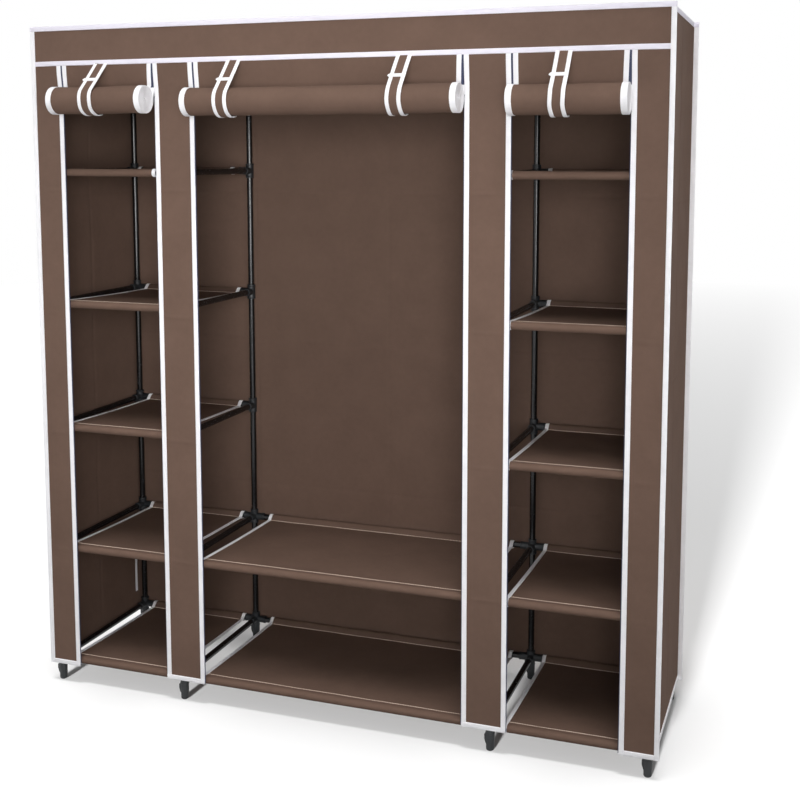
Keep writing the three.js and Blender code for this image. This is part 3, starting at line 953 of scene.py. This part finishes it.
def settle_between_rods(points):
    """The top's cloth sinks a little between the tubes that carry it."""
    x = points[..., 0]
    posts = sorted({float(POSTS[ladder, "front"][0]) for ladder in LADDERS})
    depth = edge_fade((points[..., 1] - FRONT_ROW) / (BACK_ROW - FRONT_ROW), 0.5)
    for x0, x1 in zip(posts, posts[1:]):
        inside = edge_fade((x - x0) / (x1 - x0), 0.5)
        points[..., 2] -= TOP_SINK * depth * inside * (x1 - x0) ** 0.5
    return points


def cover_rest():
    depth = BACK_MIDDLE - FRONT_MIDDLE
    width, down = RIGHT - LEFT, (0, 0, HEM - COVER_TOP)
    panel(
        "cover_top_panel",
        (LEFT, FRONT_MIDDLE, COVER_TOP - TOP_BELOW),
        (width, 0, 0),
        (0, depth, 0),
        (0.22, 0.0012),
        31,
        bend=settle_between_rods,
        creases=TOP_CREASES,
        held="stretched",
        rests_on=[f"{section}_top_front_tube" for section in SECTIONS],
    )
    corner, across, uneven = (RIGHT, BACK_MIDDLE, COVER_TOP), (-width, 0, 0), (0.42, 0.0016)
    panel("cover_back_panel", corner, across, down, uneven, 32, creases=BACK_CREASES, held="hung")
    uneven = (0.34, 0.0012)
    for name, x, y, run, seed in (
        ("left", LEFT + SIDE_INSIDE, BACK_MIDDLE, -depth, 33),
        ("right", RIGHT - SIDE_INSIDE, FRONT_MIDDLE, depth, 34),
    ):
        name, corner, across = f"cover_{name}_side_panel", (x, y, COVER_TOP), (0, run, 0)
        panel(name, corner, across, down, uneven, seed, creases=SIDE_CREASES, held="hung")


# Binding and seam flanges.


def strip(start, end, across, width=BINDING_WIDTH, thickness=BINDING_THICKNESS, seed=0, bend=None):
    """A straight run of folded tape, a little uneven. Across is the way its width runs."""
    start, end, across = (np.array(v, float) for v in (start, end, across))
    length = np.linalg.norm(end - start)
    t = np.linspace(0, 1, max(3, int(length / TAPE_STEP)))
    along = (end - start) / length
    up = np.cross(along, across)
    centres = start + t[:, None] * (end - start)
    fade = edge_fade(t, min(0.5, TAPE_PART / length))
    for more, size, way in ((0, 0.30, across), (1, 0.20, up)):
        centres = centres + (fade * TAPE_WAVE * relief(t * length, 0 * t, seed + more, size))[:, None] * way
    if bend:
        centres = bend(centres)
    return sweep(rounded_box(width, thickness, thickness * TAPE_ROUND_SHARE), centres, across, up)


def seam_row(start, end, outwards, bend=None):
    """Stitches along a run of binding, in short rows so that they follow its bend."""
    start, end = np.array(start, float), np.array(end, float)
    parts = max(1, int(np.linalg.norm(end - start) / TAPE_PART)) if bend else 1
    ends = start + np.linspace(0, 1, parts + 1)[:, None] * (end - start)
    if bend:
        ends = bend(ends)
    return [stitches(ends[i], ends[i + 1], outwards) for i in range(parts)]


def piping(name, shapes, material):
    fixed(f"cover_{name}", shapes, material, "cover_piping")


def header_binding():
    z = HEADER_BOTTOM + BINDING_WIDTH / 2
    ends = (LEFT, BINDING_MIDDLE, z), (RIGHT, BINDING_MIDDLE, z)
    band = strip(*ends, Z, seed=41, bend=leaning)
    piping("header_binding", [band], painted_shade_binding)
    rows = []
    for height in (HEADER_BOTTOM + BINDING_WIDTH - STITCH_INSET, HEADER_BOTTOM + STITCH_INSET):
        ends = (LEFT, BINDING_FACE, height), (RIGHT, BINDING_FACE, height)
        rows.extend(seam_row(*ends, -Y, bend=leaning))
    piping("header_stitching", rows, white_thread)


def stile_binding(stile, index):
    """The binding down a stile's door edges and along its lower edge, with its stitching."""
    low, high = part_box(f"cover_{stile}")
    strips, rows = [], []
    half = BINDING_WIDTH / 2
    edges = [(low.x + half, 1)] if low.x > LEFT + half else []
    edges += [(high.x - half, -1)] if high.x < RIGHT - half else []
    for number, (x, inwards) in enumerate(edges):
        start, end = (x, BINDING_MIDDLE, HEADER_BOTTOM), (x, BINDING_MIDDLE, low.z)
        strips.append(strip(start, end, X, seed=50 + 4 * index + number, bend=leaning))
        sewn = x + inwards * (half - STITCH_INSET)
        ends = ((sewn, BINDING_FACE, HEADER_BOTTOM), (sewn, BINDING_FACE, low.z + half))
        rows.extend(seam_row(*ends, -Y, bend=leaning))
    z = low.z + half
    thicker = BINDING_THICKNESS + HEM_MORE
    ends = (low.x, BINDING_MIDDLE, z), (high.x, BINDING_MIDDLE, z)
    strips.append(strip(*ends, Z, thickness=thicker, seed=70 + index))
    sewn = low.z + BINDING_WIDTH - STITCH_INSET
    rows.extend(seam_row((low.x, BINDING_FACE, sewn), (high.x, BINDING_FACE, sewn), -Y))
    piping(f"{stile}_binding", strips, white)
    piping(f"{stile}_stitching", rows, white_thread)


def flange_frame(name, y, facing, seed):
    """The bound seam that stands out round the front or the back: two sides and the top."""
    half = FLANGE_WIDTH / 2
    top = COVER_TOP + half
    runs = [
        ((LEFT - half, y, HEM), (LEFT - half, y, COVER_TOP), X),
        ((RIGHT + half, y, HEM), (RIGHT + half, y, COVER_TOP), X),
        ((LEFT - FLANGE_WIDTH, y, top), (RIGHT + FLANGE_WIDTH, y, top), Z),
    ]
    thickness = (FLANGE_THICKNESS, FLANGE_THICKNESS, FLANGE_THICKNESS + FLANGE_MORE)
    *sides, upper = [strip(*runs[i], FLANGE_WIDTH, thickness[i], seed + i) for i in range(3)]
    piping(f"{name}_side_flanges", sides, white)
    piping(f"{name}_top_flange", [upper], painted_shade_binding)
    face = y + facing[1] * FLANGE_THICKNESS / 2
    sewn = (LEFT - STITCH_INSET, RIGHT + STITCH_INSET)
    rows = [stitches((x, face, HEM), (x, face, COVER_TOP), facing) for x in sewn]
    z = COVER_TOP + STITCH_INSET
    rows.append(stitches((LEFT, face, z), (RIGHT, face, z), facing))
    piping(f"{name}_flange_stitching", rows, white_thread)


def side_bindings():
    """The upright seams along the top's sides and the bound hems of the side and back panels."""
    strips, hems, rows = [], [], []
    for side, x in ((-1, LEFT), (1, RIGHT)):
        ridge = x - side * TOP_BELOW
        z = COVER_TOP + FLANGE_WIDTH / 2
        ends = (ridge, FRONT, z), (ridge, BACK, z)
        strips.append(strip(*ends, Z, FLANGE_WIDTH, FLANGE_THICKNESS, 80 + side))
        outside = x + side * BINDING_PROUD
        z = HEM + BINDING_WIDTH / 2
        hems.append(strip((outside, FRONT, z), (outside, BACK, z), Z, seed=84 + side))
        face = outside + side * BINDING_THICKNESS / 2
        z = HEM + BINDING_WIDTH - STITCH_INSET
        rows.append(stitches((face, FRONT, z), (face, BACK, z), side * X))
    y = BACK + BINDING_PROUD
    z = HEM + BINDING_WIDTH / 2
    hems.append(strip((LEFT, y, z), (RIGHT, y, z), Z, seed=88))
    piping("top_side_flanges", strips, painted_shade_binding)
    piping("hem_binding", hems, white)
    piping("hem_stitching", rows, white_thread)


# The doors.


def door_facts(section):
    """What a door's pieces need to know: its names, its edges, and its roll's middle and radius."""
    before, after, straps = DOORS[section]
    name = f"{section}_door"
    low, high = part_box(f"{name}_binding")
    radius = (high.z - low.z) / 2
    x0, x1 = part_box(f"cover_{before}")[1].x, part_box(f"cover_{after}")[0].x
    y, z = low.y + radius, (low.z + high.z) / 2
    return SimpleNamespace(
        name=name, before=before, after=after, straps=straps, x0=x0, x1=x1, y=y, z=z, radius=radius
    )


def roll_spiral(door):
    """The middle of the wound cloth in the Y-Z plane, from its hem out to where it leaves the roll."""
    outer = door.radius - ROLL_BINDING / 2 - ROLL_GAP
    turns = (outer - ROLL_START) / ROLL_PITCH
    steps = int(turns * ROLL_STEPS)
    share = np.linspace(0, 1, steps)
    angle = TURN * turns * (share - 1)
    radius = ROLL_START + (outer - ROLL_START) * share
    spiral = arc(door.y, door.z, radius, angle)
    start = spiral[-1]
    leave_y = FRONT + CURTAIN_DEPTH - HEM_FRONT
    rise = np.linspace(0, 1, 7)[1:]
    tail = np.stack([start[0] + (leave_y - start[0]) * ease(rise), start[1] + TAIL_RISE * rise], 1)
    return np.concatenate([spiral, tail]), turns


def wound(door, x_lines, seed):
    """A grid of points of the roll for lines of X that may differ from turn to turn."""
    profile, turns = roll_spiral(door)
    mid = carried(profile, x_lines)
    along = np.arange(len(profile))[:, None] / ROLL_STEPS
    outermost = ease((np.minimum(along, turns) - turns + BUMPS_FROM) / BUMPS_OVER)
    centre = np.array([door.y, door.z])
    out = unit(mid[:, :, 1:] - centre)
    bumps = ROLL_BUMPS * relief(mid[:, :, 0], along * ROLL_TURN_LENGTH, seed, ROLL_BUMP_SIZE) * outermost
    width = door.x1 - door.x0
    share = np.clip((mid[:, :, 0] - door.x0) / width, 0, 1)
    mid[:, :, 1:] += out * bumps[..., None]
    mid[:, :, 2] -= ROLL_SAG_SHARE * width * np.sin(math.pi * share)
    return mid


def roll_pieces(door, seed):
    profile, turns = roll_spiral(door)
    x0, x1 = door.x0 + ROLL_SHIFT + CLOTH_INSET, door.x1 + ROLL_SHIFT - CLOTH_INSET
    lines = np.linspace(x0, x1, max(10, int((x1 - x0) / ROLL_STEP)))
    cloth = piece(f"{door.name}_roll_cloth", [shell(wound(door, lines, seed), ROLL_CLOTH)], brown)
    random = np.random.default_rng(seed)
    per_turn = random.uniform(-TURN_SHIFT, TURN_SHIFT, int(turns) + 3)
    turn = np.minimum(np.arange(len(profile)) / ROLL_STEPS, turns)
    inset = np.interp(turn, np.arange(len(per_turn)), per_turn) + ROLL_INSET
    inset = inset + ROLL_CUP * ease((turns - CUP_FROM - turn) / CUP_OVER)
    bands = []
    steps = np.linspace(0, 1, 6)
    thick = ease((turn - turns + THICK_FROM) / THICK_OVER)
    thick = ROLL_BINDING + (OUTER_BINDING - ROLL_BINDING) * thick
    for edge, inwards in ((door.x0, 1), (door.x1, -1)):
        outer = edge + ROLL_SHIFT + inwards * inset[:, None]
        inner = edge + ROLL_SHIFT + inwards * ROLL_BINDING_WIDTH
        grid = wound(door, outer + (inner - outer) * steps, seed)
        bands.append(shell(grid, thick[:, None, None]))
    ends = piece(f"{door.name}_roll_binding", bands, white)
    for made in (cloth, ends):
        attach(made, door.name)
        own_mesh(made)
    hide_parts(f"{door.name}_roll")
    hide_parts(f"{door.name}_binding")


def curtain_rows(door):
    """Heights of the curtain's points, spaced so that they are even once the door is all the way down."""
    low = door.z + CURTAIN_END
    high = HEADER_BOTTOM + CURTAIN_ABOVE
    weight = np.linspace(0, 1, CURTAIN_ROWS)
    share = 0.5 - np.sin(np.arcsin(1 - 2 * weight) / 3)
    share[0], share[-1] = 0, 1
    return high - (high - low) * share, high, low


def curtain_y(x, z, door):
    """Where the curtain hangs: along the front, and forward to the roll over its last stretch."""
    end = door.z + CURTAIN_END
    forward = HEM_FRONT * ease((end + HEM_TURN - z) / HEM_TURN)
    return FRONT + CURTAIN_DEPTH - lean(x, z) - forward


def curtain_pieces(door, seed):
    """The unrolled top of a door, its side bindings and its half of the zips."""
    heights, high, low = curtain_rows(door)
    drawn = CURTAIN_DRAW * (high - heights) / (high - low)
    x1 = door.x1 - CURTAIN_INSET - drawn
    x0 = np.full(CURTAIN_ROWS, door.x0 + CURTAIN_INSET)
    columns = max(14, int((door.x1 - door.x0) / CURTAIN_STEP))
    share = np.linspace(0, 1, columns)
    x = x0[:, None] + share * (x1 - x0)[:, None]
    z = np.repeat(heights[:, None], columns, 1)
    fade = edge_fade(share, 0.12)
    y = curtain_y(x, z, door) + CURTAIN_WAVE * fade * relief(x, 0 * z, seed, 0.12)
    mid = np.stack([x, y, z], 2)
    cloth = piece(f"{door.name}_curtain_cloth", [shell(mid, CLOTH)], brown_front)
    bands, tapes = [], []
    for edge, inwards in ((x0, 1), (x1, -1)):
        middle_x = edge + inwards * BINDING_WIDTH / 2
        centres = np.stack([middle_x, curtain_y(middle_x, heights, door), heights], 1)
        bands.append(sweep(rounded_box(BINDING_WIDTH, *CURTAIN_BINDING), centres, X, Y))
        tape = centres - [inwards * (BINDING_WIDTH / 2 + TAPE_BEYOND), 0, 0]
        tapes.append(sweep(rounded_box(*CURTAIN_TAPE), tape, X, Y))
    binding = piece(f"{door.name}_curtain_binding", bands, white)
    zips = piece(f"{door.name}_zip_halves", tapes, navy)
    for made in (cloth, binding, zips):
        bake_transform(made)
        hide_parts(f"{door.name}_curtain")


def stile_zips(door):
    """The other half of each zip, sewn behind the stile's binding: a tape and a row of teeth."""
    tapes, teeth = [], []
    for edge, inwards, stile in ((door.x0, 1, door.before), (door.x1, -1, door.after)):
        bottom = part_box(f"cover_{stile}")[0].z + ZIP_ABOVE_HEM
        x = edge - inwards * STILE_TAPE_AT
        line = [(x, FRONT + TAPE_BEHIND, z) for z in np.linspace(HEADER_BOTTOM, bottom, 60)]
        tapes.append(sweep(rounded_box(*STILE_TAPE), leaning(line), X, Y))
        x = edge - inwards * TEETH_AT
        ends = leaning([(x, FRONT + TEETH_BEHIND, z) for z in np.linspace(HEADER_BOTTOM, bottom, 24)])
        for start, end in zip(ends, ends[1:]):
            teeth.append(stitches(start, end, -Y, **ZIP_TEETH))
    fixed(f"{door.name}_stile_zips", tapes + teeth, navy, "cover_piping")


def strap_path(door):
    """A strap's middle line in the Y-Z plane: down from the seam onto the roll and round to underneath it."""
    radius = door.radius + STRAP_LIFT
    start = np.array([FRONT - HEADER_LEAN - STRAP_BEFORE, HEADER_BOTTOM + STRAP_ABOVE])
    to_start = start - [door.y, door.z]
    angle = math.atan2(to_start[1], to_start[0]) + math.acos(radius / np.linalg.norm(to_start))
    angles = np.linspace(angle, STRAP_END, 34)
    around = arc(door.y, door.z, radius, angles)
    straight = start + np.linspace(0, 1, 10)[:-1, None] * (around[0] - start)
    return np.concatenate([straight, around])


def strap_pieces(strap, door, seed):
    """A strap of brown cloth between two white bindings, with a cross bar just above the roll."""
    x = middle(strap)[0]
    path = strap_path(door)
    normals = path_normals(path)
    flat = rounded_box(STRAP_WIDTH - STRAP_BINDING, STRAP_THICKNESS, STRAP_ROUND)
    line = at_x(path, x)
    sway = STRAP_SWAY * relief(np.arange(len(path)) * 0.006, 0, seed, 0.08)[:, None] * X
    cloth = piece(f"{strap}_cloth", [sweep(flat, line + sway, X, normals)], brown)
    section = rounded_box(STRAP_BINDING, STRAP_THICKNESS + STRAP_HEM, STRAP_HEM_ROUND)
    offset = (STRAP_WIDTH - STRAP_BINDING) / 2
    strips = [sweep(section, line + sway + side * offset * X, X, normals) for side in (-1, 1)]
    strips.append(strap_bar(x, path, normals))
    binding = piece(f"{strap}_binding", strips, white)
    for made in (cloth, binding):
        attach(made, ROOT)
        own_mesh(made)
        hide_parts(strap)


def strap_bar(x, path, normals):
    """The bar across a strap: a flat tie whose left end runs out in a small point."""
    drop = unit(path[8] - path[3])
    out = normals[5]
    centre = np.array([x, *path[BAR_AT]]) + out * BAR_LIFT
    half, tall = STRAP_WIDTH / 2 + BAR_BEYOND, BAR_HEIGHT / 2
    outline = [(-half, -tall), (half, -tall), (half, tall), (-half, tall), (-half - BAR_OVERHANG, tall * 0.2)]
    ends = [centre - out * BAR_HALF, centre + out * BAR_HALF]
    return sweep(rounded(outline, BAR_ROUND, steps=2), ends, X, np.array([0, *drop]))


def slider_piece(name):
    """A zip slider: two waisted plates, the bridge between them and a flat pull with a slot in it."""
    low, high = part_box(name)
    x, top = (low.x + high.x) / 2, high.z
    right = [(SLIDER_HALF * 0.6, -SLIDER_LENGTH), (SLIDER_HALF * 0.8, -SLIDER_LENGTH / 2), (SLIDER_HALF, 0)]
    left = [(-a, b) for a, b in right]
    outline = rounded([left[0], *right, *left[:0:-1]], SLIDER_ROUND)
    front, back = low.y + SLIDER_ROUND, high.y
    shapes = []
    for y in (front, back - SLIDER_PLATE):
        shapes.append(sweep(outline, [(x, y, top), (x, y + SLIDER_PLATE, top)], X, Z))
    z = top - SLIDER_BRIDGE
    shapes.append(sweep(rounded_box(*BRIDGE_SECTION), [(x, front, z), (x, back, z)], X, Z))
    angles = np.linspace(0, math.pi, 9)
    bow_out = np.stack([0 * angles, -np.sin(angles), np.cos(angles)], 1)
    bow = np.array([x, front, top - BOW_BELOW]) + bow_out * [0, BOW_DEPTH, BOW_HALF]
    shapes.append(sweep(ring(BOW_RADIUS, 8), bow, X, bow_out))
    shapes.append(pull_tab(x, front - PULL_BEFORE, top - PULL_BELOW))
    made = piece(f"{name}_metal", shapes, metal)
    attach(made, name)
    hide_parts(name)


def pull_tab(x, y, top):
    """A flat pull with rounded ends and a slot, hanging from its upper end."""
    half, narrow = PULL_HALF, PULL_HALF * 0.9
    outer = [(-half, PULL_ABOVE), (half, PULL_ABOVE), (narrow, -PULL_LENGTH), (-narrow, -PULL_LENGTH)]
    outer = rounded(outer, PULL_ROUND, steps=4)
    count = len(outer)
    centre = outer.mean(0)
    inner = centre + (outer - centre) * [PULL_SLOT / half, 0.72]
    layers = []
    for depth in (0, PULL_THICKNESS):
        for outline in (outer, inner):
            layers.append(np.stack([x + outline[:, 0], np.full(count, y - depth), top + outline[:, 1]], 1))
    faces = []
    for i in range(count):
        j = (i + 1) % count
        for a, b in ((0, 1), (3, 2), (2, 0), (1, 3)):
            faces.append((a * count + i, a * count + j, b * count + j, b * count + i))
    return np.concatenate(layers), faces


def inner_tie():
    """The end of a white ribbon inside the left side panel, which ties it to the left back post."""
    t = np.linspace(0, 1, 16)
    x = LEFT + TIE_INSIDE + TIE_BOW * np.sin(math.pi * t)
    y = BACK_ROW - TIE_BEFORE - 2 * TIE_BOW * np.sin(3 * t)
    z = LEVELS[0] + TIE_ABOVE - TIE_LENGTH * t
    ribbon = sweep(rounded_box(*TIE_SECTION), np.stack([x, y, z], 1), Y, X)
    fixed("cover_inner_tie", [ribbon], white)


# Floor, light and camera.


def seen_directly(near):
    """One for what the camera sees, also in gloss and through glass, and nothing for light that bounces."""
    ray = node(near, "ShaderNodeLightPath").outputs
    seen = arithmetic("MAXIMUM", ray["Is Camera Ray"], ray["Is Glossy Ray"])
    return arithmetic("MAXIMUM", seen, ray["Is Transmission Ray"])


def floor_material():
    """A white floor that reads white where it is lit, and keeps the object's shadow."""
    made, shader, places = start_material("studio_floor")
    tree = made.node_tree
    tree.nodes.remove(shader)
    near, dull = (
        node(places, "ShaderNodeBsdfDiffuse", {"Color": (level, level, level, 1)}).outputs[0]
        for level in (FLOOR_SHOWN, FLOOR_BOUNCE)
    )
    far = node(places, "ShaderNodeEmission", {"Strength": 1.0}).outputs[0]
    distance = node(places, "ShaderNodeVectorMath", {0: places}, operation="LENGTH").outputs["Value"]
    fade = ranged(distance, FLOOR_NEAR, FLOOR_FAR, 0.0, 1.0)
    shown = node(places, "ShaderNodeMixShader", {0: fade, 1: near, 2: far}).outputs[0]
    mix = node(places, "ShaderNodeMixShader", {0: seen_directly(places), 1: dull, 2: shown}).outputs[0]
    tree.links.new(mix, tree.nodes["Material Output"].inputs["Surface"])
    return made


def make_floor():
    mesh = bpy.data.meshes.new("studio_floor")
    corners = [(a * FLOOR_SIZE, b * FLOOR_SIZE, 0) for a, b in ((-1, -1), (1, -1), (1, 1), (-1, 1))]
    mesh.from_pydata(corners, [], [(0, 1, 2, 3)])
    mesh.materials.append(floor_material())
    placed("studio_floor", mesh)


def make_world():
    world = bpy.data.worlds.new("studio_world")
    bpy.context.scene.world = world
    world.use_nodes = True
    background = world.node_tree.nodes["Background"]
    background.inputs["Color"].default_value = (1, 1, 1, 1)
    level = ranged(seen_directly(background), 0.0, 1.0, SKY_LIGHT, 1.0)
    world.node_tree.links.new(level, background.inputs["Strength"])


def aimed(data, place, aim):
    """A lamp at a place, turned to where it aims."""
    made = placed(data.name, data)
    made.location = place
    made.rotation_euler = (Vector(aim) - Vector(place)).to_track_quat("-Z", "Y").to_euler()
    return made


def floor_collection(name, state):
    """A collection for light linking, with the floor either the only thing lit or the only thing left out."""
    made = bpy.data.collections.new(name)
    made.objects.link(bpy.data.objects["studio_floor"])
    made.collection_objects[0].light_linking.link_state = state
    return made


def make_lights():
    lit = {name: floor_collection(name, state) for name, state in LIT.items()}
    for name, (strength, softness, place, receivers) in SUNS.items():
        sun = bpy.data.lights.new(f"studio_{name}", "SUN")
        sun.energy = strength
        sun.angle = math.radians(softness)
        aimed(sun, place, (0, 0, 0)).light_linking.receiver_collection = lit[receivers]
    for name, (place, aim, size, power, spread) in BOXES.items():
        box = bpy.data.lights.new(f"studio_{name}", "AREA")
        box.energy = power
        box.size = size
        box.spread = math.radians(spread)
        lamp = aimed(box, place, aim)
        lamp.visible_camera = False
        lamp.light_linking.receiver_collection = lit["all_but_floor"]


def make_camera():
    data = bpy.data.cameras.new("camera")
    data.lens = CAMERA_LENS
    data.shift_x, data.shift_y = CAMERA_SHIFT
    data.clip_end = 100
    made = placed("camera", data)
    made.location = CAMERA_PLACE
    made.rotation_euler = (math.radians(90 - CAMERA_PITCH), 0, math.radians(CAMERA_YAW))
    bpy.context.scene.camera = made
    bpy.context.scene.view_settings.view_transform = "Standard"


make_camera()
make_world()
make_floor()
make_lights()

for ladder_name in LADDERS:
    ladder_pieces(ladder_name)
    for place_name in PLACES:
        foot_piece(ladder_name, place_name)

for section_name in SECTIONS:
    top_rods(section_name)
    for shelf_level, shelf_height in enumerate(LEVELS):
        shelf_name = f"{section_name}_shelf_{shelf_level + 1}"
        if shelf_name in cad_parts:
            shelf_seed = 100 + 10 * shelf_level + len(section_name)
            shelf(shelf_name, section_name, shelf_height, shelf_seed)

hanging_rail()
cover_front()
cover_rest()
header_binding()
for stile_index, stile_name in enumerate(STILES):
    stile_binding(stile_name, stile_index)
flange_frame("front", FRONT - FLANGE_PROUD, -Y, 90)
flange_frame("back", BACK + FLANGE_PROUD, Y, 95)
side_bindings()
inner_tie()

for door_index, section_name in enumerate(DOORS):
    this_door = door_facts(section_name)
    roll_pieces(this_door, 200 + door_index)
    curtain_pieces(this_door, 210 + door_index)
    stile_zips(this_door)
    for strap_index, strap_name in enumerate(this_door.straps):
        strap_pieces(strap_name, this_door, 220 + 2 * door_index + strap_index)
    for side_name in ("left", "right"):
        slider_piece(f"{this_door.name}_{side_name}_slider")
